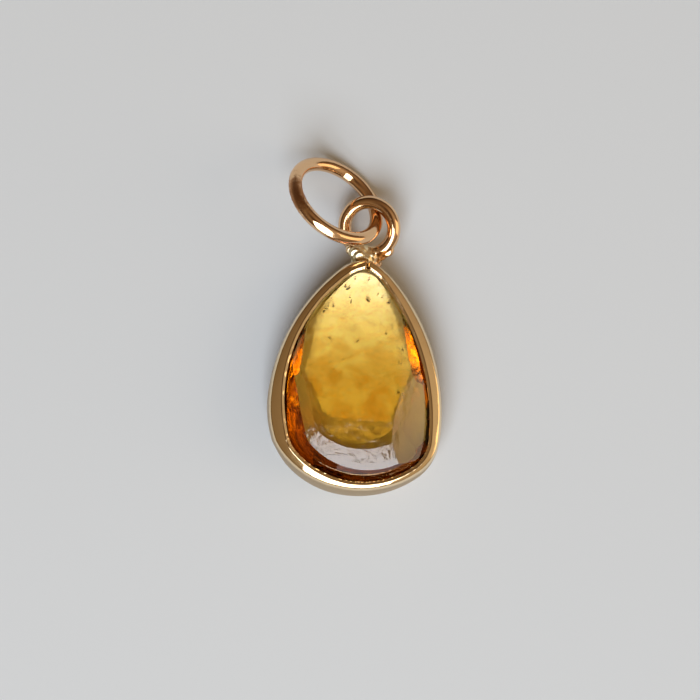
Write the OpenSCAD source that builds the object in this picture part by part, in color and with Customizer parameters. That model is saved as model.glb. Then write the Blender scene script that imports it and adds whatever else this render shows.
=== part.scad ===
// Sapphire charm: a free-form golden stone rubbed over in a gold setting that is open at the back,
// with a loop soldered to its point and a jump ring through the loop. It lies on its back.
// Millimetres. X runs across the charm, Y along it towards the ring, Z up from the back.

/* [Setting] */
// Length of the setting from its round end to its point, without the loop
setting_l = 13; // [12:0.1:14]
// Height of the rim above the back
rim_h = 2.75; // [2.6:0.05:3.2]
// Width of the bright bevel that is rubbed down round the stone
bevel_w = 0.13; // [0.1:0.01:0.15]
// Width of the flat crest of the rim, outside the bevel
crest_w = 0.05; // [0.04:0.01:0.08]
// Slope of the rubbed face that falls away outside the crest, in degrees
face_slope = 18; // [14:1:22]
// Share of the rim's width that the rubbed face takes, along the sides
face_share = 0.74; // [0.6:0.02:0.78]
// The same share at the round end
foot_share = 0.28; // [0.24:0.02:0.4]
// Slope of the wall under the rubbed face, in degrees
wall_slope = 76; // [70:1:77]
// Width of the bearing under the stone, measured in from the rim's opening
bearing_w = 0.35; // [0.25:0.05:0.5]

/* [Stone] */
// Height of the table at its lower edge, above the back
table_h = 3.25; // [3.15:0.05:3.4]
// Fall of the table towards the point, in degrees
table_fall = 5.2; // [4.6:0.1:5.6]
// Slope of the shallow tier round the table, in degrees
tier_slope = 14.7; // [13.9:0.2:15.3]
// Number of facets under the stone, round its base
pavilion_n = 16; // [12:1:24]
// Height of the stone's flat base at the round end, above the back
base_h = 0.8; // [0.76:0.02:0.84]
// Rise of the base towards the point, in degrees
base_rise = 7.3; // [6.7:0.1:8]
// Rise of the base towards the left side, in degrees
base_side = 1; // [0:0.2:2]
// Gap between the stone and the metal
stone_gap = 0.05; // [0.04:0.01:0.07]

/* [Loop and jump ring] */
// Wire of the soldered loop
loop_wire = 0.75; // [0.6:0.05:0.75]
// Radius of the loop to the middle of its wire
loop_r = 1.41; // [1.4:0.01:1.45]
// Tilt of the loop, in degrees
loop_tilt = 20; // [20:1:22]
// Wire of the jump ring
ring_wire = 0.75; // [0.6:0.05:0.75]
// Radius of the jump ring to the middle of its wire
ring_r = 2.6; // [2.58:0.01:2.62]
// Lean of the jump ring from flat, in degrees
ring_lean = 51.8; // [51:0.2:53]

/* [Hidden] */
$fn = 96;

// Columns of an outline. Each row is a rounded corner and the wide flank that follows it clockwise
X = 0;
Y = 1;
R = 2;
FLANK = 3;
// The outlines start at the point and are drawn round the middle of a setting of this length
drawn_l = 13;
BACK = [[0.38, 4.73, 1.77, 10.91], [1.74, -3.09, 2.95, 5.78], [-0.15, -1.8, 4.66, 10.4]];
RIM = [[0.46, 4.67, 1.25, 12.4], [2.1, -3.2, 1.98, 4.9], [-1.66, -2.69, 2.01, 8.4]];
TABLE = [[0.45, 4.3, 1.5, 30], [1.64, -2.2, 0.9, 5], [-1.15, -1.75, 1.15, 10.3]];
size_k = setting_l / drawn_l;
back_edge = BACK * size_k;
rim_edge = RIM * size_k;
table_edge = TABLE * size_k;

// Stations round an outline
stations = 96;
station_step = 360 / stations;
// Far past anything that is cut
past = 10;

// The seat, from the rubbed edge down: the girdle's wall and the bearing under it
edge_z = rim_h - 0.3;
girdle_w = 0.15;
girdle_top = edge_z - 0.2;
girdle_low = girdle_top - 0.33;
bearing_z = girdle_low - bearing_w - girdle_w;
base_round = 0.08;
// The rubbed rim's inner lip and the outer edge of its crest
lip_z = rim_h - 0.1;
crest_out = bevel_w + crest_w;

// The stone's girdle, a gap in from the wall of its seat
girdle_out = girdle_w - stone_gap;
stone_top = girdle_top - stone_gap / 2;
stone_low = girdle_low + stone_gap * sqrt(2);
// The steep lower edge runs in this far under the girdle, unless the facets below cut it first
seated_w = 1.1;
// The facets below start this much above the place where the steep edge would end
facet_lift = 0.1;
// How much further in the crown's top lies on the left side
left_crown_w = 0.32;
// Rise of the steep crown for each millimetre inwards, the same as the rubbed edge's
crown_rise = (edge_z - girdle_top) / girdle_w;
// The line that the base tilts about lies this far from the middle, towards the round end
base_y = -3;

// Facets down the stone's sides, as [direction, distance of the upper edge, its height, slope]
SIDE_FACETS = [[158, 2.96, 2.78, 29.8], [166.5, 2.94, 2.92, 28.7], [173, 3.13, 3.1, 46.6],
    [-4.8, 2.75, 3.06, 20.2], [27.4, 2.79, 2.95, 21.3]];
// Slopes of the facets under the stone, as [direction, slope]
UNDER_SLOPES = [[0, 21], [45, 31.6], [90, 17.8], [135, 28.7], [180, 18.7], [225, 22.2],
    [270, 17], [315, 45], [360, 21]];
// How far in the steep lower edge reaches before those facets, as [direction, width]
STEEP_WIDTHS = [[0, 0.6], [45, 0.28], [90, 0.53], [135, 0.53], [180, 0.75], [225, 0.32],
    [270, 0.31], [315, 0.66], [360, 0.6]];

// The loop's middle, the direction of the line that it tilts about, and the solder under it
LOOP_AT = [0.82, 8.34, 1.4];
loop_axis = 120;
NECK_AT = [0.6, 6.15, 1.15];
neck_l = 0.8;
neck_wide = 0.78;
neck_thin = 0.42;
// Lumps of solder and the wire's rounded end, as [x, y, z, radius]
LUMPS = [[0.28, 7, 1.2, 0.42], [0.62, 6.72, 1.3, 0.5], [1.76, 7.14, 1.44, 0.41]];

// The jump ring's middle, the direction of the line that it leans about, and its reach along Y
RING_AT = [-1.02, 9.75];
ring_axis = 138.9;
ring_z = ring_r * sin(ring_lean) + ring_wire / 2;
ring_reach = ring_r * norm([sin(ring_axis), cos(ring_axis) * cos(ring_lean)]) + ring_wire / 2;

// What hangs on the point moves with the setting's length
point_shift = (setting_l - drawn_l) / 2;

// Middle of the whole charm, which lies over the origin
head_y = RING_AT[Y] + point_shift + ring_reach;
foot_y = -reach(back_edge, 270);
middle = [(reach(back_edge, 0) - reach(back_edge, 180)) / 2, (head_y + foot_y) / 2];

// Unit vector in a direction
function facing(t) = [cos(t), sin(t)];

// An angle brought into one turn
function turn(t) = t - 360 * floor(t / 360);

// Direction from one point to another
function heading(from, to) = atan2(to[Y] - from[Y], to[X] - from[X]);

// Middle of the flank that joins corner i to the next one, tangent to both
function flank_at(outline, i) = let (
    a = outline[i], b = outline[(i + 1) % len(outline)],
    gap = norm([b[X] - a[X], b[Y] - a[Y]]), e = [b[X] - a[X], b[Y] - a[Y]] / gap,
    from_a = a[FLANK] - a[R], from_b = a[FLANK] - b[R],
    along = (from_a ^ 2 - from_b ^ 2 + gap ^ 2) / (2 * gap), rise = sqrt(from_a ^ 2 - along ^ 2))
    [a[X] + e[X] * along + e[Y] * rise, a[Y] + e[Y] * along - e[X] * rise];

// Point of an outline where it faces a direction
function edge_point(outline, t) = let (
    reaches = [for (a = outline) [a[X], a[Y]] * facing(t) + a[R]],
    corner = outline[search(max(reaches), reaches)[0]],
    flank = [for (i = [0:len(outline) - 1]) let (
        f = flank_at(outline, i), last = heading(f, outline[(i + 1) % len(outline)]))
        if (turn(t - last) <= turn(heading(f, outline[i]) - last)) f + outline[i][FLANK] * facing(t)])
    len(flank) > 0 ? flank[0] : [corner[X], corner[Y]] + corner[R] * facing(t);

// How far an outline reaches in a direction
function reach(outline, t) = edge_point(outline, t) * facing(t);

// Share of a change on the left side that reaches a direction: all at the left, none at the right
function leftward(t) = ((1 - cos(t)) / 2) ^ 2;

// Distance from the middle to the flat side that faces t, for a row of [out, height, in on the left]
function side_at(outline, row, t) = reach(outline, t) + row[0] - row[2] * leftward(t);

// Corner of the flat-sided shape round an outline, between the sides facing t and the next station
function side_corner(outline, row, t) = let (
    near = side_at(outline, row, t), far = side_at(outline, row, t + station_step))
    near * facing(t) + (far - near * cos(station_step)) / sin(station_step) * facing(t + 90);

// Convex solid with flat sides round an outline, through rows going up
module cut_round(outline, rows) {
    last = (len(rows) - 1) * stations;
    polyhedron(
        [for (row = rows, k = [0:stations - 1])
            concat(side_corner(outline, row, k * station_step), row[1])],
        concat([[for (k = [0:stations - 1]) k]], [[for (k = [stations - 1:-1:0]) last + k]],
            [for (low = [0:stations:last - 1], k = [0:stations - 1]) let (next = (k + 1) % stations)
                [low + k, low + stations + k, low + stations + next, low + next]]));
}

// Closed band whose section at each station is a closed row of points
module swept_band(sections) {
    count = len(sections);
    sides = len(sections[0]);
    polyhedron(
        [for (section = sections, point = section) point],
        [for (k = [0:count - 1], j = [0:sides - 1], first = [true, false]) let (
            here = k * sides, there = (k + 1) % count * sides, next = (j + 1) % sides)
            first ? [here + j, there + next, there + j] : [here + j, here + next, there + next]]);
}

// Everything under a plane that falls outwards through this distance and height
module under_slope(direction, distance, height, slope) {
    rotate([0, 0, direction])
        translate([distance, 0, height])
            rotate([0, slope, 0])
                translate([-2 * past, -2 * past, -4 * past])
                    cube(4 * past);
}

// Everything over a plane that rises outwards through this distance and height
module over_slope(direction, distance, height, slope) {
    rotate([0, 0, direction])
        translate([distance, 0, height])
            rotate([0, -slope, 0])
                translate([-2 * past, -2 * past, 0])
                    cube(4 * past);
}

// Round link of bent wire, lying flat
module link(r, wire) {
    rotate_extrude()
        translate([r, 0])
            circle(d = wire);
}

// Section of the setting's wall, bearing and rubbed edge where they face a direction
function wall_section(t) = let (
    n = facing(t), back = edge_point(back_edge, t), rim = edge_point(rim_edge, t),
    band = (back - rim) * n,
    share = face_share + (foot_share - face_share) * max(0, -n[Y]) ^ 2,
    face_out = crest_out + (band - crest_out) * share,
    face_z = rim_h - (face_out - crest_out) * tan(face_slope),
    wall_z = max(2 * base_round, face_z - (band - face_out) * tan(wall_slope)))
    [for (s = [[band - base_round, 0], [band, base_round], [band, wall_z], [face_out, face_z],
        [crest_out, rim_h], [bevel_w, rim_h], [0, lip_z], [0, edge_z], [girdle_w, girdle_top],
        [girdle_w, girdle_low], [-bearing_w, bearing_z], [-bearing_w, 0]]) concat(rim + s[0] * n, s[1])];

module setting() {
    color("#c9954f")
        translate([-middle[X], -middle[Y], 0]) {
            swept_band([for (k = [0:stations - 1]) wall_section(k * station_step)]);
            translate([0, point_shift, 0]) {
                translate(LOOP_AT)
                    rotate(-loop_tilt, concat(facing(loop_axis), 0))
                        link(loop_r, loop_wire);
                translate(NECK_AT)
                    rotate([-90, 0, 0])
                        cylinder(h = neck_l, r1 = neck_wide, r2 = neck_thin);
                for (lump = LUMPS)
                    translate([lump[0], lump[1], lump[2]])
                        sphere(lump[3]);
            }
        }
}

// Steep crown, girdle and lower edge in the rim's outline, clear of the metal
module girdled() {
    cut_round(rim_edge, [[girdle_out - seated_w, 0, 0], [girdle_out - seated_w, stone_low - seated_w, 0],
        [girdle_out, stone_low, 0], [girdle_out, stone_top, 0],
        [girdle_out - (table_h - stone_top) / crown_rise, table_h, left_crown_w]]);
}

// Flat table with the shallow tier that falls away round it
module tabled() {
    translate([0, table_edge[1][Y], table_h])
        rotate([-table_fall, 0, 0])
            translate([0, -table_edge[1][Y], 0])
                cut_round(table_edge, [[past / 2, -past, 0], [past / 2, -past / 2 * tan(tier_slope), 0],
                    [0, 0, 0]]);
}

module stone() {
    color("#d99a1c")
        translate([-middle[X], -middle[Y], 0])
            intersection() {
                girdled();
                tabled();
                intersection_for (facet = SIDE_FACETS)
                    under_slope(facet[0], facet[1] * size_k, facet[2], facet[3]);
                intersection_for (t = [0:360 / pavilion_n:359])
                    over_slope(t, reach(rim_edge, t) + girdle_out - lookup(t, STEEP_WIDTHS),
                        stone_low - lookup(t, STEEP_WIDTHS) + facet_lift, lookup(t, UNDER_SLOPES));
                translate([0, base_y * size_k, base_h])
                    rotate([base_rise, 0, 0])
                        rotate([0, -base_side, 0])
                            translate([-2 * past, -2 * past, 0])
                                cube(4 * past);
            }
}

module jump_ring() {
    color("#c48a4c")
        translate([RING_AT[X] - middle[X], RING_AT[Y] + point_shift - middle[Y], ring_z])
            rotate(ring_lean, concat(facing(ring_axis), 0))
                link(ring_r, ring_wire);
}

setting();
stone();
jump_ring();
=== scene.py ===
"""Sapphire charm: a golden stone in a rub-over gold setting, with a soldered loop and a jump ring.

Lengths are in millimetres until a piece is finished, which turns it to metres.
"""

import math

import bmesh
import bpy
from mathutils import Matrix, Vector, noise


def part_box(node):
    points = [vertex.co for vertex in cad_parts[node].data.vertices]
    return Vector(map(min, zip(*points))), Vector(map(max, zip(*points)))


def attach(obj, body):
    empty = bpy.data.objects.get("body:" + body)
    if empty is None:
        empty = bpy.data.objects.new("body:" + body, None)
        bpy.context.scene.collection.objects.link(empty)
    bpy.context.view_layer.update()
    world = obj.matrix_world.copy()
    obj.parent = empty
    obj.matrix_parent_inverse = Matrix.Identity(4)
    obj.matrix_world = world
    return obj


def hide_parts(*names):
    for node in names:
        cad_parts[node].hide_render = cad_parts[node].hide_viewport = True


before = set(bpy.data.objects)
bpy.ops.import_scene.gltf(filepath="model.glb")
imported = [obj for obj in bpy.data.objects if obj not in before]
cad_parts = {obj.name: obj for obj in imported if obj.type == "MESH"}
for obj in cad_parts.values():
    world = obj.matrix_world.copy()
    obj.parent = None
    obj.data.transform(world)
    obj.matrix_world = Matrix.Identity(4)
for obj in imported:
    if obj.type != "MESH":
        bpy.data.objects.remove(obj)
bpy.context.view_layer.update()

MM = 0.001
UP = Vector((0, 0, 1))

# The photograph: its width in pixels, what one pixel spans on the surface, the camera's height
# and its sensor's width
PHOTO_W = 700
PIXEL = 0.0556
CAMERA_H = 200
SENSOR_W = 36
# The point of the surface under the photograph's middle, from the middle of the setting's outline
VIEW_FROM_SETTING = (-0.244, 1.585)
# The floor's half width, and how far it lies under the charm, in metres
FLOOR_HALF = 0.6
FLOOR_DROP = 0.00001

# Outlines round the middle of the setting, starting at its point. Each row is a rounded corner,
# as x, y and radius, and then the radius of the wide flank that follows it clockwise
BACK = ((0.38, 4.73, 1.77, 10.91), (1.74, -3.09, 2.95, 5.78), (-0.15, -1.8, 4.66, 10.4))
RIM = ((0.46, 4.67, 1.25, 12.4), (2.1, -3.2, 1.98, 4.9), (-1.66, -2.69, 2.01, 8.4))
TABLE = ((0.45, 4.3, 1.5, 30), (1.64, -2.2, 0.9, 5), (-1.15, -1.75, 1.15, 10.3))
# Steps in which the setting and the stone follow them
STATIONS = 360

# The setting's heights and widths
RIM_H = 2.75
EDGE_Z = RIM_H - 0.3
GIRDLE_W = 0.15
GIRDLE_TOP = EDGE_Z - 0.2
GIRDLE_LOW = GIRDLE_TOP - 0.33
BEARING_W = 0.35
BEARING_Z = GIRDLE_LOW - BEARING_W - GIRDLE_W
# The rubbed rim: its bright bevel, the crest, and the face that falls away to the wall
LIP_Z = RIM_H - 0.05
BEVEL_W = 0.13
CREST_W = 0.05
FACE_SLOPE = 18
# Share of the rim's width that the rubbed face takes, along the sides and at the round end
FACE_SHARE = 0.74
FOOT_SHARE = 0.28
WALL_SLOPE = 76
BASE_ROUND = 0.08
# Width of the rounding along each line of the wall's section, in the order of rim_section
SOFTENED = (0, 0, 0, 0.012, 0.022, 0.03, 0.07, 0.16, 0, 0.06, 0, 0)
# Where the strip of metal that makes the wall meets itself, across the setting's point
SEAM_X = 0.74
SEAM_W = 0.06
SEAM_DEPTH = 0.3
# Rise of the rim to a peak at that seam, and how far to each side it starts
PEAK_RISE = 0.2
PEAK_W = 0.3
# Faces of the opening lower than this are the bur-cut seat
SEAT_TOP = GIRDLE_TOP + 0.01

# Unevenness of hand work, as waves to a millimetre and their height: on the rim, on the solder,
# on all of the fused metal, and on the jump ring's wire and its stain as a share of the wire
RIM_WEAR = ((0.7, 0.02), (2.6, 0.006), (7, 0.0018))
SOLDER_WEAR = ((1.7, 0.07), (4, 0.012))
LOOP_WEAR = ((1.3, 0.012),)
RING_WEAR = ((0.9, 0.02),)
STAIN_WAVES = 4
STAIN_WEAR = 0.03

# The stone's gap from the setting, its clearance over the bearing and under the rubbed edge, how
# far in it stands below its girdle, and the height that the uncut body starts from
STONE_GAP = 0.04
OVER_BEARING = 0.07
UNDER_EDGE = 0.02
SEATED_W = 1.1
UNCUT_Z = 0.2
# The table, which falls about its round end, and the tier that fans round it
TABLE_H = 3.25
TABLE_FALL = 5.2
TABLE_FOOT_Y = TABLE[1][1]
TIER_SLOPE = 14.7
TIER_CUTS = 90
# Side facets as direction, distance, height and slope
SIDE_FACETS = ((158, 2.96, 2.78, 29.8), (166.5, 2.94, 2.92, 28.7), (173, 3.13, 3.1, 46.6),
               (-4.8, 2.75, 3.06, 24), (27.4, 2.68, 2.95, 21.3))
# The steep edge: how far it leans in for its height, and at its top how much further in it is on
# the left, and how much further out round a direction on the right
CROWN_LEAN = 0.9
LEFT_CROWN_W = 0.32
RIGHT_CROWN_OUT = 0.2
RIGHT_TURN = 10
# How sharply that edge stands up towards the point, where the rim hides it, and its lean there
POINT_SHARE = 2
POINT_LEAN = 0.03
# The flat base: its height at a place along the setting, its rise towards the point and its tilt
BASE_H = 0.8
BASE_Y = -3
BASE_RISE = 7.3
BASE_SIDE = 1
BASE_TURN = (Matrix.Rotation(math.radians(BASE_RISE), 4, "X")
             @ Matrix.Rotation(math.radians(-BASE_SIDE), 4, "Y"))
# The base's edge is polished round towards the foot, this wide and up to this far along
BLEND_W = 0.25
BLEND_Y = 0.5
# Facets under the stone, and for every eighth of a turn their slope and how far in the steep edge
# over them reaches
UNDER_FACETS = 16
FACET_LIFT = 0.1
UNDER_SLOPES = (21, 31.6, 17.8, 28.7, 18.7, 22.2, 17, 45)
STEEP_WIDTHS = (0.6, 0.28, 0.53, 0.53, 0.75, 0.32, 0.31, 0.66)
# The polish of the table has waves this deep, which start between these depths under the table
POLISH_WAVES = 0.05
POLISH_FROM = 0.4
POLISH_FULL = 0.3

# The veil in the stone, silk clouds with a painted sheen: up from the base, and how much longer
# than it, bent up and rounded off at the foot, and its waves
VEIL_LIFT = 0.25
VEIL_FURTHER = 0.13
VEIL_BEND = 0.32
VEIL_HALF_W = 2.4
VEIL_CUTS = 5
VEIL_WAVES = ((0.8, 0.03),)
# The stone's point along the setting, the veil's painted sheen there, which stands in for the
# brighter light at the stone's point, and how far it reaches, and its painted sheen at the foot,
# which stands in for light there too and starts and is full at these distances from the point
POINT_Y = 5.9
PAINTED_SHEEN = 0.29
PAINTED_SHEEN_L = 5.5
FOOT_PAINTED_SHEEN = 0.15
FOOT_FROM = 8
FOOT_FULL = 8.8
# Dark crystals in the stone, as x and y over the setting's middle, half length, half width, turn
SPECK_LIFT = 0.6
SPECKS = (
    (-0.5, 5.13, 0.09, 0.05, 60), (-0.38, 4.98, 0.11, 0.05, 10), (-0.27, 5.06, 0.05, 0.05, 0),
    (0.03, 5.55, 0.05, 0.04, 0), (0.78, 5.5, 0.08, 0.035, 20), (0.72, 4.36, 0.15, 0.05, -48),
    (1.82, 4.24, 0.09, 0.08, 0), (1.3, 4.7, 0.07, 0.035, 40), (1.5, 4.52, 0.06, 0.03, -20),
    (-1.17, 4.03, 0.07, 0.045, 40), (-1.52, 3.88, 0.08, 0.04, 0), (-1.63, 3.73, 0.07, 0.04, 50),
    (-0.25, 4.52, 0.05, 0.04, 0), (-0.19, 4.27, 0.1, 0.04, 65), (-1.28, 2.2, 0.2, 0.025, -40),
    (1.73, 2.5, 0.06, 0.05, 0), (2.52, 1.58, 0.08, 0.06, 90), (2.47, 0.84, 0.05, 0.05, 0),
    (2.39, -0.78, 0.09, 0.07, 90), (0.2, 2.1, 0.12, 0.02, 30), (-0.6, 1.1, 0.1, 0.02, 15),
)
# Their thickness as a share of their width, how rough they are, as a share of their size and in
# waves to a radius, and the step that gives each a shape of its own
SPECK_THIN = 0.6
SPECK_ROUGH = 0.35
SPECK_WAVES = 1.3
SPECK_APART = 3

# The soldered loop's middle over the setting's middle, radius, wire, tilt and the line it tilts on
LOOP_AT = Vector((0.82, 8.34, 1.4))
LOOP_R = 1.41
WIRE = 0.75
LOOP_TILT = -20
LOOP_AXIS = 120
# Solder and the wire's rounded end, as x, y, z and radius over the setting's middle, and the share
# of its radius at which each lump is worn flat
LUMPS = (
    (0.3, 6.85, 1.15, 0.52), (0.72, 6.6, 1.15, 0.6), (1.1, 6.72, 1.2, 0.46),
    (1.45, 6.92, 1.3, 0.42), (1.78, 7.12, 1.44, 0.42), (0.2, 6.5, 1.0, 0.42),
    (1.15, 6.42, 1.0, 0.4), (-0.17, 7.1, 1.5, 0.33), (0.06, 6.94, 1.64, 0.36),
    (0.3, 6.76, 1.7, 0.36), (0.56, 6.56, 1.66, 0.34), (0.85, 6.7, 1.4, 0.4), (0.4, 7.0, 1.35, 0.4),
)
LUMP_FLAT = 0.7
# Cone of metal at the setting's point: its near end over the setting's middle, length and radii
NECK_AT = Vector((0.6, 6.15, 1.15))
NECK_L = 0.8
NECK_WIDE = 0.78
NECK_THIN = 0.42
# Grain of the skin round the fused metal, and how many times it is smoothed
SKIN_GRAIN = 0.03
SKIN_SMOOTHED = 6
# Where the solder is roughest and how far that reaches, and where its colour is palest
SOLDER_AT = Vector((0.5, 6.8, 1.3))
SOLDER_REACH = 1.1
PALE_AT = Vector((0.35, 6.75, 1.5))

# The jump ring's radius, lean and the line that it leans about
RING_R = 2.6
RING_LEAN = 51.8
RING_AXIS = 138.9
# Where its ends meet and where it is stained, in degrees round it from that line, how wide each is
# in degrees, and how much thinner the wire is at its join
JOIN_TURN = 25
JOIN_W = 5
JOIN_PINCH = 0.02
STAIN_TURN = 48
STAIN_W = 22
# Worn flats of the charm face this way. Those on the ring have this depth as a share of the wire's
# radius, and are given as the turn of the middle and the half length in degrees
FLAT_UP = Vector((-0.06, -0.3, 0.95)).normalized()
FLAT_DEPTH = 0.11
RING_FLATS = ((107, 17), (281, 10))

# Most of a noise pattern lies between these values
NOISE_LOW = 0.3
NOISE_HIGH = 0.7
# Gold: its wear's depth, the size of the clouds in its gloss as a number of the wear's grains, and
# the roughness in them as a share of the metal's
WEAR_DEPTH = 0.01
CLOUD_GRAINS = 6
GLOSSIER = 0.7
DULLER = 1.5
# Filed lines: their distance, how far they are drawn out along, and their depth as a share of wear
FILED_APART = 0.1
FILED_LONG = 0.04
FILED_DEEP = 1.2
# How strongly the stone's colour builds up along a ray, to each metre
BODY_DENSITY = 766

setting_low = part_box("setting")[0] / MM
ring_low, ring_high = (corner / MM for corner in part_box("jump_ring"))


def facing(turn):
    """Unit vector in a direction, given in degrees."""
    return Vector((math.cos(math.radians(turn)), math.sin(math.radians(turn))))


def sloped(turn, slope):
    """Direction at an angle off straight up, as a facet faces when it falls outwards."""
    flat = facing(turn) * math.sin(math.radians(slope))
    return Vector((flat.x, flat.y, math.cos(math.radians(slope))))


def leftward(turn):
    """How much of a change on the left side reaches a direction: all at the left, none right."""
    return ((1 - math.cos(math.radians(turn))) / 2) ** 2


def between(values, turn):
    """Value in a direction, from values that are spaced evenly round a whole turn."""
    step = 360 / len(values)
    here = int(turn // step)
    share = turn / step - here
    return values[here] * (1 - share) + values[(here + 1) % len(values)] * share


def unevenness(spot, waves):
    """Height at a point of a hand-worked surface, from pairs of waves and their height."""
    return sum(noise.noise(spot * often) * high for often, high in waves)


def flank_middle(corner, following):
    """Middle of the flank that touches a corner and the one that follows it."""
    here, there = Vector(corner[:2]), Vector(following[:2])
    gap = (there - here).length
    line = (there - here) / gap
    to_here, to_there = corner[3] - corner[2], corner[3] - following[2]
    along = (to_here**2 - to_there**2 + gap**2) / (2 * gap)
    rise = math.sqrt(to_here**2 - along**2)
    return here + line * along + Vector((line.y, -line.x)) * rise


def edge_point(outline, turn):
    """Point of an outline where it faces a direction."""
    out = facing(turn)
    for i, corner in enumerate(outline):
        following = outline[(i + 1) % len(outline)]
        middle = flank_middle(corner, following)
        first, last = (
            math.degrees(math.atan2(c[1] - middle.y, c[0] - middle.x)) for c in (corner, following)
        )
        if (turn - last) % 360 <= (first - last) % 360:
            return middle + out * corner[3]
    corner = max(outline, key=lambda c: Vector(c[:2]).dot(out) + c[2])
    return Vector(corner[:2]) + out * corner[2]


# Middle of the setting's outline in the frame: its round end touches the box's low side
outline_low = edge_point(BACK, 270).y
outline_left = edge_point(BACK, 180).x
SETTING_AT = Vector((setting_low.x - outline_left, setting_low.y - outline_low, 0))


def tipped(middle, tip, axis):
    """Place of a link: its middle, and its tilt about a level line in a direction."""
    line = facing(axis)
    turned = Matrix.Rotation(math.radians(tip), 4, Vector((*line, 0)))
    return Matrix.Translation(middle) @ turned


RING_AT = (ring_low + ring_high) / 2
RING_PLACE = (tipped(RING_AT, RING_LEAN, RING_AXIS)
              @ Matrix.Rotation(math.radians(RING_AXIS), 4, "Z"))


def ring_point(turn):
    """Point of the jump ring's middle line."""
    return RING_PLACE @ Vector((*(facing(turn) * RING_R), 0))


def base_place(lift):
    """Place of a level plane when it is laid along the stone's flat base and lifted off it."""
    pivot = SETTING_AT + Vector((0, BASE_Y, 0))
    up = Matrix.Translation(pivot + Vector((0, 0, BASE_H + lift)))
    return up @ BASE_TURN @ Matrix.Translation(-pivot)


def hex_colour(code):
    """Linear colour of an sRGB hex value."""
    parts = [int(code[i:i + 2], 16) / 255 for i in (1, 3, 5)]
    return tuple(c / 12.92 if c <= 0.04045 else ((c + 0.055) / 1.055) ** 2.4 for c in parts) + (1,)


def per_mm(size):
    """Scale of a pattern whose grain has a size in millimetres."""
    return 1 / (size * MM)


def add_node(tree, kind, inputs=None, **settings):
    """Adds a node with its settings, and its inputs as values or as sockets to link."""
    made = tree.nodes.new(kind)
    for name, value in settings.items():
        setattr(made, name, value)
    for name, value in (inputs or {}).items():
        if isinstance(value, bpy.types.NodeSocket):
            tree.links.new(value, made.inputs[name])
        else:
            made.inputs[name].default_value = value
    return made


def new_material(name):
    """Empty material with its output node."""
    made = bpy.data.materials.new(name)
    made.use_nodes = True
    made.node_tree.nodes.clear()
    return made, made.node_tree, add_node(made.node_tree, "ShaderNodeOutputMaterial")


def ragged_share(tree, wear, ragged, away, none, full):
    """Share of a patch, from none to full at these distances, with an edge made ragged by wear."""
    moved = add_node(tree, "ShaderNodeMath", {
        0: wear, 1: ragged * MM, 2: away}, operation="MULTIPLY_ADD")
    share = add_node(tree, "ShaderNodeMapRange", {
        "Value": moved.outputs["Value"], "From Min": none * MM, "From Max": full * MM})
    return share.outputs["Result"]


def shade_low_on_the_wall(tree, place, wear):
    """Share of rougher gold with painted shade on the wall: all of it near the back, none on the
    burnished rim.
    """
    height = add_node(tree, "ShaderNodeSeparateXYZ", {"Vector": place}).outputs["Z"]
    # Painted shade: the wall is painted darker below the rim, for the shaded paper that it mirrors
    return ragged_share(tree, wear, 0.3, height, none=2.55, full=2.2)


def round_the_join(tree, place, wear):
    """Share of stained gold on the jump ring: most of it where the ends of the wire meet."""
    away = add_node(tree, "ShaderNodeVectorMath", {
        0: place, 1: ring_point(STAIN_TURN) * MM}, operation="DISTANCE")
    return ragged_share(tree, wear, 2.5, away.outputs["Value"], none=2.7, full=1.9)


def by_the_solder(tree, place, wear):
    """Share of paler, yellower solder on the loop: all of it at the neck, none round the wire."""
    away = add_node(tree, "ShaderNodeVectorMath", {
        0: place, 1: (PALE_AT + SETTING_AT) * MM}, operation="DISTANCE")
    return ragged_share(tree, wear, 0.5, away.outputs["Value"], none=1.3, full=0.9)


def gold(name, colour, roughness, grain, dull=None, filed=False):
    """Polished gold alloy: warm mirror with fine wear, whose gloss changes from place to place.

    The grain of the wear is in millimetres. A patch is given as a colour, a roughness and a
    function that adds its share from the place, such as a heat stain, paler solder and, on the
    wall, a duller finish with painted shade. Filed metal also has fine level lines, 0.05 mm
    apart and drawn twice as coarse so that they show.
    """
    made, tree, output = new_material(name)
    place = add_node(tree, "ShaderNodeTexCoord").outputs["Object"]
    clouds = add_node(tree, "ShaderNodeTexNoise", {
        "Vector": place, "Scale": per_mm(grain * CLOUD_GRAINS), "Detail": 3})
    gloss = add_node(tree, "ShaderNodeMapRange", {
        "Value": clouds.outputs["Fac"], "From Min": NOISE_LOW, "From Max": NOISE_HIGH,
        "To Min": roughness * GLOSSIER, "To Max": roughness * DULLER}).outputs["Result"]
    wear = add_node(tree, "ShaderNodeTexNoise", {
        "Vector": place, "Scale": per_mm(grain), "Detail": 4}).outputs["Fac"]
    height = wear
    if filed:
        drawn = add_node(tree, "ShaderNodeMapping", {
            "Vector": place, "Scale": (FILED_LONG, FILED_LONG, 1)})
        lines = add_node(tree, "ShaderNodeTexNoise", {
            "Vector": drawn.outputs["Vector"], "Scale": per_mm(FILED_APART), "Detail": 3})
        filing = add_node(tree, "ShaderNodeMath", {
            0: lines.outputs["Fac"], 1: FILED_DEEP, 2: wear}, operation="MULTIPLY_ADD")
        height = filing.outputs["Value"]
    bump = add_node(tree, "ShaderNodeBump", {
        "Height": height, "Strength": 0.25, "Distance": WEAR_DEPTH * MM})
    skin = add_node(tree, "ShaderNodeBsdfPrincipled", {
        "Base Color": hex_colour(colour), "Metallic": 1, "Normal": bump.outputs["Normal"]})
    if dull:
        patch_colour, dull_roughness, share_of = dull
        share = share_of(tree, place, wear)
        tint = add_node(tree, "ShaderNodeMix", {
            0: share, 6: hex_colour(colour), 7: hex_colour(patch_colour)}, data_type="RGBA")
        tree.links.new(tint.outputs[2], skin.inputs["Base Color"])
        gloss = add_node(tree, "ShaderNodeMapRange", {
            "Value": share, "To Min": gloss, "To Max": dull_roughness}).outputs["Result"]
    tree.links.new(gloss, skin.inputs["Roughness"])
    tree.links.new(skin.outputs["BSDF"], output.inputs["Surface"])
    return made


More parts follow.
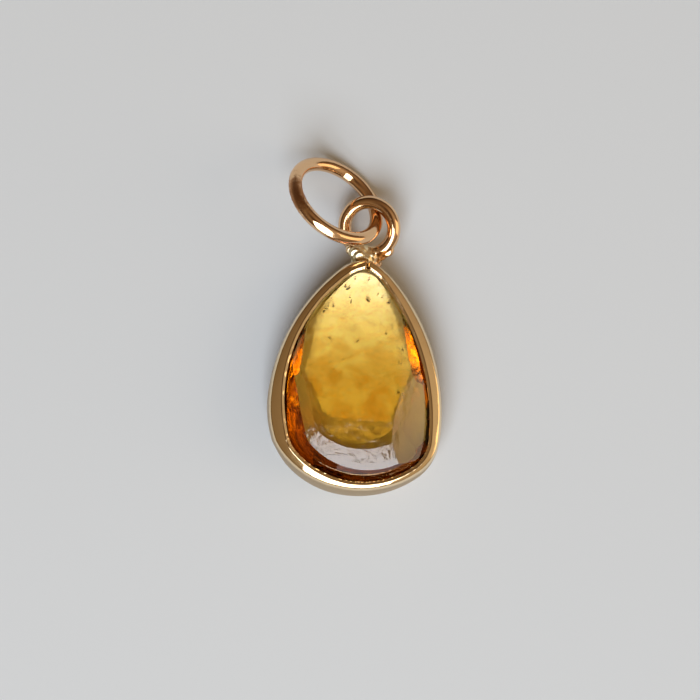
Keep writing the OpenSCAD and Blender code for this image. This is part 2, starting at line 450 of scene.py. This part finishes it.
def golden_sapphire():
    """Cut and polished golden sapphire: clear, highly refractive, with an amber body colour.

    The hand-polished table is a little wavy, which breaks up what it mirrors.
    """
    made, tree, output = new_material("golden_sapphire")
    place = add_node(tree, "ShaderNodeTexCoord").outputs["Object"]
    fall = math.tan(math.radians(TABLE_FALL))
    above = add_node(tree, "ShaderNodeVectorMath", {
        0: place, 1: (0, fall, 1)}, operation="DOT_PRODUCT").outputs["Value"]
    table_z = (TABLE_H + (SETTING_AT.y + TABLE_FOOT_Y) * fall) * MM
    on_top = add_node(tree, "ShaderNodeMapRange", {
        "Value": above, "From Min": table_z - POLISH_FROM * MM,
        "From Max": table_z - POLISH_FULL * MM})
    wear = add_node(tree, "ShaderNodeTexNoise", {
        "Vector": place, "Scale": per_mm(0.45), "Detail": 4, "Distortion": 0.6})
    bump = add_node(tree, "ShaderNodeBump", {
        "Height": wear.outputs["Fac"], "Strength": on_top.outputs["Result"],
        "Distance": POLISH_WAVES * MM})
    skin = add_node(tree, "ShaderNodeBsdfPrincipled", {
        "Base Color": (1, 1, 1, 1), "Roughness": 0.02, "IOR": 1.76, "Transmission Weight": 1,
        "Normal": bump.outputs["Normal"]})
    body = add_node(tree, "ShaderNodeVolumeAbsorption", {
        "Color": hex_colour("#fee700"), "Density": BODY_DENSITY})
    tree.links.new(skin.outputs["BSDF"], output.inputs["Surface"])
    tree.links.new(body.outputs["Volume"], output.inputs["Volume"])
    return made


def silk_veil_and_painted_sheen():
    """Silk of very fine needles in the stone: a cloudy amber tint, and a painted sheen.

    The sheen is a mirror, painted strongest at the tip and again at the foot, which stands in for
    the brighter light in the stone there.

    The clouds of it are 1.3 mm across, and the streaks of needles 0.9 mm, drawn out across it.
    """
    made, tree, output = new_material("silk_clouds_and_painted_sheen")
    place = add_node(tree, "ShaderNodeTexCoord").outputs["Object"]
    along = add_node(tree, "ShaderNodeSeparateXYZ", {"Vector": place}).outputs["Y"]
    # Painted sheen: the veil mirrors more strongly towards the stone's point and its foot, for
    # brighter light there
    point_y = (SETTING_AT.y + POINT_Y) * MM
    near = add_node(tree, "ShaderNodeMapRange", {
        "Value": along, "From Min": point_y - PAINTED_SHEEN_L * MM, "From Max": point_y,
        "To Min": 0.02, "To Max": PAINTED_SHEEN})
    clouds = add_node(tree, "ShaderNodeTexNoise", {
        "Vector": place, "Scale": per_mm(1.3), "Detail": 6, "Roughness": 0.6, "Distortion": 0.8})
    patchy = add_node(tree, "ShaderNodeMapRange", {
        "Value": clouds.outputs["Fac"], "From Min": NOISE_LOW, "From Max": NOISE_HIGH,
        "To Min": 0.55, "To Max": 1.3})
    foot = add_node(tree, "ShaderNodeMapRange", {
        "Value": along, "From Min": point_y - FOOT_FROM * MM,
        "From Max": point_y - FOOT_FULL * MM, "To Max": FOOT_PAINTED_SHEEN})
    ends = add_node(tree, "ShaderNodeMath", {
        0: near.outputs["Result"], 1: foot.outputs["Result"]}, operation="ADD")
    sheen = add_node(tree, "ShaderNodeMath", {
        0: ends.outputs["Value"], 1: patchy.outputs["Result"]}, operation="MULTIPLY")
    drawn = add_node(tree, "ShaderNodeMapping", {
        "Vector": place, "Rotation": (0, 0, math.radians(-40)), "Scale": (0.7, 1, 1)})
    streaks = add_node(tree, "ShaderNodeTexNoise", {
        "Vector": drawn.outputs["Vector"], "Scale": per_mm(0.9), "Detail": 8, "Roughness": 0.6,
        "Distortion": 0.5})
    tint = add_node(tree, "ShaderNodeValToRGB", {"Fac": streaks.outputs["Fac"]})
    tint.color_ramp.elements[0].position = 0.36
    tint.color_ramp.elements[0].color = hex_colour("#f0deb0")
    tint.color_ramp.elements[1].position = 0.6
    tint.color_ramp.elements[1].color = hex_colour("#ffffff")
    clear = add_node(tree, "ShaderNodeBsdfTransparent", {"Color": tint.outputs["Color"]})
    needles = add_node(tree, "ShaderNodeBsdfPrincipled", {
        "Base Color": hex_colour("#fff6dc"), "Metallic": 1, "Roughness": 0.2})
    both = add_node(tree, "ShaderNodeMixShader", {
        0: sheen.outputs["Value"], 1: clear.outputs["BSDF"], 2: needles.outputs["BSDF"]})
    tree.links.new(both.outputs["Shader"], output.inputs["Surface"])
    return made


def dark_crystal():
    """Brown crystals held in the stone: half clear and dull, so that they read as soft specks."""
    made, tree, output = new_material("brown_crystal_inclusions")
    place = add_node(tree, "ShaderNodeTexCoord").outputs["Object"]
    clouds = add_node(tree, "ShaderNodeTexNoise", {
        "Vector": place, "Scale": per_mm(0.05), "Detail": 2})
    tint = add_node(tree, "ShaderNodeValToRGB", {"Fac": clouds.outputs["Fac"]})
    tint.color_ramp.elements[0].color = hex_colour("#6a4a14")
    tint.color_ramp.elements[1].color = hex_colour("#b08a38")
    skin = add_node(tree, "ShaderNodeBsdfPrincipled", {
        "Base Color": tint.outputs["Color"], "Roughness": 0.5, "Alpha": 0.55})
    tree.links.new(skin.outputs["BSDF"], output.inputs["Surface"])
    return made


def skin_rings(bm, rows, closed):
    """Skin through rows of points, and from the last to the first if closed. Gives their edges.

    The rows are bridged as a plain stack of circles, so that no bridge twists, and then put in
    place.
    """
    stack = []
    for level, points in enumerate(rows):
        lift = Matrix.Translation((0, 0, level))
        verts = bmesh.ops.create_circle(bm, segments=len(points), radius=1, matrix=lift)["verts"]
        edges = list(dict.fromkeys(e for v in verts for e in v.link_edges))
        stack.append((verts, edges, points))
    rings = [edges for _, edges, _ in stack]
    for near, far in zip(rings, rings[1:] + (rings[:1] if closed else [])):
        bmesh.ops.bridge_loops(bm, edges=near + far)
    for verts, _, points in stack:
        for vert, point in zip(verts, points):
            vert.co = point
    return rings


def finish_piece(name, bm, material, stands_for, sharp):
    """Turns a mesh in millimetres into a finished piece, crisp where it turns more than sharp."""
    bmesh.ops.recalc_face_normals(bm, faces=bm.faces)
    bmesh.ops.scale(bm, vec=(MM, MM, MM), verts=bm.verts)
    mesh = bpy.data.meshes.new(name)
    bm.to_mesh(mesh)
    bm.free()
    mesh.shade_smooth()
    mesh.set_sharp_from_angle(angle=math.radians(sharp))
    mesh.materials.append(material)
    made = bpy.data.objects.new(name, mesh)
    bpy.context.scene.collection.objects.link(made)
    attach(made, "root")
    if stands_for:
        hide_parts(stands_for)
    return made


def rim_section(turn):
    """Section of the wall facing a direction, as distances out from the rim and heights."""
    back, rim = edge_point(BACK, turn), edge_point(RIM, turn)
    band = (back - rim).dot(facing(turn))
    crest = BEVEL_W + CREST_W
    foot = max(0, -facing(turn).y) ** 2
    face_end = crest + (band - crest) * (FACE_SHARE + (FOOT_SHARE - FACE_SHARE) * foot)
    face_z = RIM_H - (face_end - crest) * math.tan(math.radians(FACE_SLOPE))
    wall_z = face_z - (band - face_end) * math.tan(math.radians(WALL_SLOPE))
    opening = ((GIRDLE_W, GIRDLE_LOW), (GIRDLE_W, GIRDLE_TOP), (0, EDGE_Z), (0, LIP_Z))
    rubbed = ((BEVEL_W, RIM_H), (crest, RIM_H), (face_end, face_z))
    wall = ((band, wall_z), (band, BASE_ROUND), (band, 0))
    bearing = ((-BEARING_W, 0), (-BEARING_W, BEARING_Z))
    return opening + rubbed + wall + bearing


def make_setting(material, seat_material):
    """Wall, bearing and rubbed-down rim round the stone."""
    bm = bmesh.new()
    sections = [rim_section(360 * k / STATIONS) for k in range(STATIONS)]
    rows = []
    for line in zip(*sections):
        points = []
        for k, (out, height) in enumerate(line):
            turn = 360 * k / STATIONS
            flat = edge_point(RIM, turn) + facing(turn) * out + SETTING_AT.xy
            points.append((*flat, height))
        rows.append(points)
    rings = skin_rings(bm, rows, closed=True)
    for ring, width in zip(rings, SOFTENED):
        if width:
            bmesh.ops.bevel(bm, geom=ring, offset=width, offset_type="OFFSET", segments=4,
                            profile=0.5, affect="EDGES", clamp_overlap=True, material=-1)
    bmesh.ops.recalc_face_normals(bm, faces=bm.faces)
    bm.normal_update()
    for vert in bm.verts:
        spot = vert.co - SETTING_AT
        if spot.z < EDGE_Z:
            continue
        across = abs(spot.x - SEAM_X) if spot.y > 0 else math.inf
        notch = SEAM_DEPTH * math.exp(-(across / SEAM_W) ** 2)
        vert.co += vert.normal * (unevenness(spot, RIM_WEAR) - notch)
        vert.co.y += PEAK_RISE * math.exp(-across / PEAK_W)
    made = finish_piece("rub_over_setting", bm, material, "setting", sharp=35)
    made.data.materials.append(seat_material)
    for face in made.data.polygons:
        spot = face.center / MM - SETTING_AT
        if face.normal.dot(Vector((spot.x, spot.y, 0))) < 0 and spot.z < SEAT_TOP:
            face.material_index = 1
    return made


def wire_link(bm, radius, wire, place, turns=144, sides=40):
    """Closed round link of wire, spun and then put in its place."""
    section = bmesh.ops.create_circle(bm, segments=sides, radius=wire / 2)["verts"]
    stand = Matrix.Translation((radius, 0, 0)) @ Matrix.Rotation(math.radians(90), 4, "X")
    bmesh.ops.transform(bm, matrix=stand, verts=section)
    edges = list(dict.fromkeys(e for v in section for e in v.link_edges))
    before = set(bm.verts) - set(section)
    bmesh.ops.spin(bm, geom=section + edges, cent=(0, 0, 0), axis=(0, 0, 1),
                   angle=math.radians(360), steps=turns, use_merge=True)
    made = [v for v in bm.verts if v not in before]
    bmesh.ops.transform(bm, matrix=place, verts=made)
    return made


def flattened(turn, off, facing_up):
    """Point of the ring's wire, from its middle line, pressed flat where it is worn on top."""
    press = 0
    for at, long in RING_FLATS:
        away = (turn - at + 180) % 360 - 180
        press += FLAT_DEPTH * math.exp(-(away / long) ** 4)
    over = off.dot(facing_up) - WIRE / 2 * (1 - press)
    return off - facing_up * max(0, over)


def fused(bm, grain):
    """One skin round everything in a mesh, as solder leaves it."""
    mesh = bpy.data.meshes.new("loose_shapes")
    bmesh.ops.recalc_face_normals(bm, faces=bm.faces)
    bm.to_mesh(mesh)
    bm.free()
    holder = bpy.data.objects.new("loose_shapes", mesh)
    bpy.context.scene.collection.objects.link(holder)
    skin = holder.modifiers.new("skin", "REMESH")
    skin.mode = "VOXEL"
    skin.voxel_size = grain
    whole = bmesh.new()
    whole.from_object(holder, bpy.context.evaluated_depsgraph_get())
    bpy.data.objects.remove(holder)
    return whole


def make_loop(material):
    """Loop of wire with its rounded end, and the lumpy solder that joins it to the setting."""
    bm = bmesh.new()
    wire_link(bm, LOOP_R, WIRE, tipped(LOOP_AT + SETTING_AT, LOOP_TILT, LOOP_AXIS))
    for x, y, z, r in LUMPS:
        middle = Vector((x, y, z)) + SETTING_AT
        lump = bmesh.ops.create_icosphere(
            bm, subdivisions=4, radius=r, matrix=Matrix.Translation(middle))["verts"]
        for vert in lump:
            vert.co -= FLAT_UP * max(0, (vert.co - middle).dot(FLAT_UP) - r * LUMP_FLAT)
    neck_middle = NECK_AT + SETTING_AT + Vector((0, NECK_L / 2, 0))
    neck = Matrix.Translation(neck_middle) @ Matrix.Rotation(math.radians(-90), 4, "X")
    bmesh.ops.create_cone(bm, cap_ends=True, segments=48, radius1=NECK_WIDE, radius2=NECK_THIN,
                          depth=NECK_L, matrix=neck)
    bm = fused(bm, SKIN_GRAIN)
    for _ in range(SKIN_SMOOTHED):
        bmesh.ops.smooth_vert(bm, verts=bm.verts, factor=0.5,
                              use_axis_x=True, use_axis_y=True, use_axis_z=True)
    solder_at = SOLDER_AT + SETTING_AT
    bm.normal_update()
    for vert in bm.verts:
        near = max(0, 1 - (vert.co - solder_at).length / SOLDER_REACH)
        rough = unevenness(vert.co, SOLDER_WEAR) * min(1, near * 2)
        vert.co += vert.normal * (rough + unevenness(vert.co, LOOP_WEAR))
    return finish_piece("soldered_loop", bm, material, "setting", sharp=60)


def make_ring(material):
    """Jump ring with the fine line where its ends meet."""
    bm = bmesh.new()
    wire_link(bm, RING_R, WIRE, Matrix.Identity(4), turns=256, sides=48)
    ring_up = RING_PLACE.to_3x3().transposed() @ FLAT_UP
    for vert in bm.verts:
        turn = math.degrees(math.atan2(vert.co.y, vert.co.x))
        ring_line = Vector((vert.co.x, vert.co.y, 0)).normalized() * RING_R
        off = flattened(turn, vert.co - ring_line, ring_up)
        pinch = 1 - JOIN_PINCH * math.exp(-((turn - JOIN_TURN) / JOIN_W) ** 2)
        stain = math.exp(-((turn - STAIN_TURN) / STAIN_W) ** 2)
        stained = unevenness(vert.co, ((STAIN_WAVES, STAIN_WEAR * stain),))
        uneven = 1 + unevenness(vert.co, RING_WEAR) + stained
        vert.co = ring_line + off * pinch * uneven
    bmesh.ops.transform(bm, matrix=RING_PLACE, verts=bm.verts)
    return finish_piece("jump_ring_wire", bm, material, "jump_ring", sharp=60)


def cut(bm, point, out):
    """Cuts away what lies beyond a plane, and closes the cut with one flat facet."""
    made = bmesh.ops.bisect_plane(
        bm, geom=bm.verts[:] + bm.edges[:] + bm.faces[:], dist=1e-5,
        plane_co=point, plane_no=out, clear_outer=True)
    rim = [e for e in made["geom_cut"] if isinstance(e, bmesh.types.BMEdge)]
    if rim:
        bmesh.ops.contextual_create(bm, geom=rim)


def stone_row(out, height, left_in=0, right_out=0):
    """Points round the stone at a distance out from the rim, moved in on the left or out right."""
    points = []
    for k in range(STATIONS):
        turn = 360 * k / STATIONS
        away = out - left_in * leftward(turn) + right_out * leftward(turn + 180 - RIGHT_TURN)
        flat = edge_point(RIM, turn) + facing(turn) * away + SETTING_AT.xy
        points.append(Vector((*flat, height)))
    return points


def lowest_facet(stone):
    """The large flat base of the stone."""
    return min(stone.faces, key=lambda f: f.normal.z * f.calc_area())


def make_stone(material, veil_material):
    """Table, shallow tier, steep edge, side facets, girdle and the facets under the stone."""
    bm = bmesh.new()
    out = GIRDLE_W - STONE_GAP
    low, top = GIRDLE_LOW + OVER_BEARING, GIRDLE_TOP - UNDER_EDGE
    edge_out = out - (EDGE_Z - top) * CROWN_LEAN
    crown_out = out - (TABLE_H - top) * CROWN_LEAN
    girdle_row = stone_row(out, top)
    edge_row = stone_row(edge_out, EDGE_Z)
    crown_row = stone_row(crown_out, TABLE_H, LEFT_CROWN_W, RIGHT_CROWN_OUT)
    upright = stone_row(edge_out - POINT_LEAN, TABLE_H)
    for k, (leaning, standing) in enumerate(zip(crown_row, upright)):
        share = max(0, math.sin(math.radians(360 * k / STATIONS))) ** POINT_SHARE
        slant = girdle_row[k].lerp(leaning, (EDGE_Z - top) / (TABLE_H - top))
        edge_row[k] = slant.lerp(edge_row[k], share)
        crown_row[k] = leaning.lerp(standing, share)
    rings = skin_rings(bm, (
        stone_row(out - SEATED_W, UNCUT_Z), stone_row(out - SEATED_W, low - SEATED_W),
        stone_row(out, low), girdle_row, edge_row, crown_row), closed=False)
    for ring in (rings[0], rings[-1]):
        bmesh.ops.contextual_create(bm, geom=ring)
    bmesh.ops.recalc_face_normals(bm, faces=bm.faces)
    tilt = Matrix.Rotation(math.radians(-TABLE_FALL), 3, "X")
    pivot = Vector((0, TABLE_FOOT_Y, TABLE_H)) + SETTING_AT
    for k in range(TIER_CUTS):
        turn = 360 / TIER_CUTS * k
        edge = edge_point(TABLE, turn)
        point = pivot + tilt @ Vector((edge.x, edge.y - TABLE_FOOT_Y, 0))
        cut(bm, point, tilt @ sloped(turn, TIER_SLOPE))
    cut(bm, pivot, tilt @ UP)
    for turn, away, height, slope in SIDE_FACETS:
        flat = facing(turn) * away
        cut(bm, Vector((flat.x, flat.y, height)) + SETTING_AT, sloped(turn, slope))
    cut(bm, Vector((0, BASE_Y, BASE_H)) + SETTING_AT, -(BASE_TURN.to_3x3() @ UP))
    for k in range(UNDER_FACETS):
        turn = 360 / UNDER_FACETS * k
        steep = between(STEEP_WIDTHS, turn)
        edge = edge_point(RIM, turn) + facing(turn) * (out - steep)
        point = Vector((*edge, low - steep + FACET_LIFT)) + SETTING_AT
        cut(bm, point, -sloped(turn + 180, between(UNDER_SLOPES, turn)))
    bmesh.ops.recalc_face_normals(bm, faces=bm.faces)
    make_veil(bm.copy(), veil_material)
    blend_end = SETTING_AT.y + BLEND_Y
    foot = [e for e in lowest_facet(bm).edges
            if (e.verts[0].co + e.verts[1].co).y / 2 < blend_end]
    bmesh.ops.bevel(bm, geom=foot, offset=BLEND_W, offset_type="OFFSET", segments=8,
                    profile=0.5, affect="EDGES", clamp_overlap=True, material=-1)
    return finish_piece("cut_stone", bm, material, "stone", sharp=3.5)


def make_veil(stone, material):
    """Thin veil of silk and painted sheen in the stone, just over its flat base, from a copy of
    that facet.
    """
    base = lowest_facet(stone)
    bmesh.ops.delete(stone, geom=[f for f in stone.faces if f != base], context="FACES")
    bmesh.ops.triangulate(stone, faces=stone.faces)
    bmesh.ops.subdivide_edges(stone, edges=stone.edges, cuts=VEIL_CUTS, use_grid_fill=True)
    point_y = max(vert.co.y for vert in stone.verts)
    long = point_y - min(vert.co.y for vert in stone.verts)
    slope = math.tan(math.radians(BASE_RISE))
    for vert in stone.verts:
        share = (point_y - vert.co.y) / long
        rounded = max(0, 1 - ((vert.co.x - SETTING_AT.x) / VEIL_HALF_W) ** 2)
        further = share * long * VEIL_FURTHER * rounded
        lift = VEIL_LIFT + VEIL_BEND * share**2 - further * slope
        vert.co += Vector((0, -further, lift + unevenness(vert.co, VEIL_WAVES)))
    return finish_piece("silk_veil_and_painted_sheen", stone, material, None, sharp=60)


def make_specks(material):
    """Small dark crystals inside the stone."""
    bm = bmesh.new()
    for x, y, long, wide, turn in SPECKS:
        place = base_place(SPECK_LIFT) @ Matrix.Translation(SETTING_AT + Vector((x, y, 0)))
        lump = bmesh.ops.create_icosphere(bm, subdivisions=3, radius=1)["verts"]
        size = Matrix.Diagonal((long, wide, wide * SPECK_THIN, 1))
        own = Vector((x, y, 0)) * SPECK_APART
        for vert in lump:
            vert.co *= 1 + SPECK_ROUGH * noise.noise(vert.co * SPECK_WAVES + own)
        laid = place @ (Matrix.Rotation(math.radians(turn), 4, "Z") @ size)
        bmesh.ops.transform(bm, matrix=laid, verts=lump)
    return finish_piece("crystal_specks", bm, material, None, sharp=60)


def stage_light(name, turn, off_top, away, width, height, watts, colour):
    """Soft rectangular light at an angle off straight up, in metres, aimed at the charm."""
    data = bpy.data.lights.new(name, "AREA")
    data.shape = "RECTANGLE"
    data.size, data.size_y = width, height
    data.energy = watts
    data.color = hex_colour(colour)[:3]
    made = bpy.data.objects.new(name, data)
    aim = sloped(turn, off_top)
    made.location = aim * away
    made.rotation_euler = aim.to_track_quat("Z", "Y").to_euler()
    bpy.context.scene.collection.objects.link(made)


def make_floor():
    """Plain pale surface that the charm lies on: matt paper, which scatters light evenly."""
    bm = bmesh.new()
    bmesh.ops.create_grid(bm, x_segments=1, y_segments=1, size=FLOOR_HALF)
    bmesh.ops.translate(bm, vec=(0, 0, -FLOOR_DROP), verts=bm.verts)
    mesh = bpy.data.meshes.new("floor")
    bm.to_mesh(mesh)
    bm.free()
    made, tree, output = new_material("pale_matt_paper")
    skin = add_node(tree, "ShaderNodeBsdfPrincipled", {
        "Base Color": hex_colour("#dfe6ea"), "Roughness": 0.9})
    tree.links.new(skin.outputs["BSDF"], output.inputs["Surface"])
    mesh.materials.append(made)
    floor = bpy.data.objects.new("floor", mesh)
    bpy.context.scene.collection.objects.link(floor)


def colour_bar(tree, value, low, high, stops):
    """Colours along a value's range, as a share of the range and an sRGB hex value."""
    share = add_node(tree, "ShaderNodeMapRange", {
        "Value": value, "From Min": low, "From Max": high})
    ramp = add_node(tree, "ShaderNodeValToRGB", {"Fac": share.outputs["Result"]})
    bar = ramp.color_ramp
    while len(bar.elements) < len(stops):
        bar.elements.new(0.5)
    for step, (at, colour) in zip(bar.elements, stops):
        step.position = at
        step.color = hex_colour(colour)
    return ramp.outputs["Color"]


def make_room():
    """Soft room light: dim straight up, where the camera is, and brighter lower down."""
    world = bpy.data.worlds.new("soft_room")
    bpy.context.scene.world = world
    world.use_nodes = True
    tree = world.node_tree
    tree.nodes.clear()
    place = add_node(tree, "ShaderNodeTexCoord").outputs["Generated"]
    spread = add_node(tree, "ShaderNodeSeparateXYZ", {"Vector": place})
    sides = colour_bar(tree, spread.outputs["X"], -1, 1, (
        (0, "#8a7458"), (0.45, "#8e7c66"), (0.75, "#c4b096"), (1, "#d2bfa4")))
    over = colour_bar(tree, spread.outputs["Z"], 0, 1, (
        (0, "#8a8078"), (0.25, "#a8a098"), (0.5, "#d8d8d8"),
        (0.85, "#ffffff"), (0.97, "#b0a090"), (1, "#86725e")))
    ends = colour_bar(tree, spread.outputs["Y"], -1, 1, (
        (0, "#ffffff"), (0.5, "#ffffff"), (0.8, "#c8b8a8"), (1, "#b8a490")))
    room = sides
    for other in (over, ends):
        both = add_node(tree, "ShaderNodeVectorMath", {0: room, 1: other}, operation="MULTIPLY")
        room = both.outputs["Vector"]
    sky = add_node(tree, "ShaderNodeBackground", {"Color": room, "Strength": 1})
    output = add_node(tree, "ShaderNodeOutputWorld")
    tree.links.new(sky.outputs["Background"], output.inputs["Surface"])


def make_camera():
    """Camera straight over the surface, as the photograph was taken."""
    data = bpy.data.cameras.new("camera")
    data.sensor_width = SENSOR_W
    data.lens = data.sensor_width * CAMERA_H / (PHOTO_W * PIXEL)
    made = bpy.data.objects.new("camera", data)
    spot = SETTING_AT + Vector((*VIEW_FROM_SETTING, CAMERA_H))
    made.location = spot * MM
    bpy.context.scene.collection.objects.link(made)
    bpy.context.scene.camera = made


make_floor()
make_room()
make_camera()
stage_light("window", turn=-101, off_top=36, away=0.5, width=0.3, height=0.38,
            watts=2.1, colour="#f0f6ff")
stage_light("side_fill", turn=-8, off_top=72, away=0.6, width=0.36, height=0.6,
            watts=0.9, colour="#ffe2bc")

# Yellow gold alloy, filed and then burnished on its rim, which mirrors over a duller wall;
# the wall is also painted darker low down, as painted shade
yellow_gold = gold("polished_yellow_gold", "#f6d8a6", roughness=0.09, grain=0.25,
                   dull=("#b09468", 0.32, shade_low_on_the_wall), filed=True)
# Drawn and polished wire of a pinker gold, which mirrors, with pale satin solder at one side
warm_gold = gold("polished_warm_gold_wire", "#ecc294", roughness=0.09, grain=0.25,
                 dull=("#fff0c4", 0.3, by_the_solder))
# The same wire, browned and dulled by heat where its ends meet
stained_gold = gold("stained_warm_gold_wire", "#ecc294", roughness=0.09, grain=0.25,
                    dull=("#b07a4e", 0.42, round_the_join))
# The bur leaves the seat matt, so it shows no mirror images through the stone
seat_gold = gold("bur_cut_gold_seat", "#f6d8a6", roughness=0.5, grain=0.1)
make_setting(yellow_gold, seat_gold)
make_stone(golden_sapphire(), silk_veil_and_painted_sheen())
make_specks(dark_crystal())
make_loop(warm_gold)
make_ring(stained_gold)

bpy.context.scene.view_settings.view_transform = "Standard"
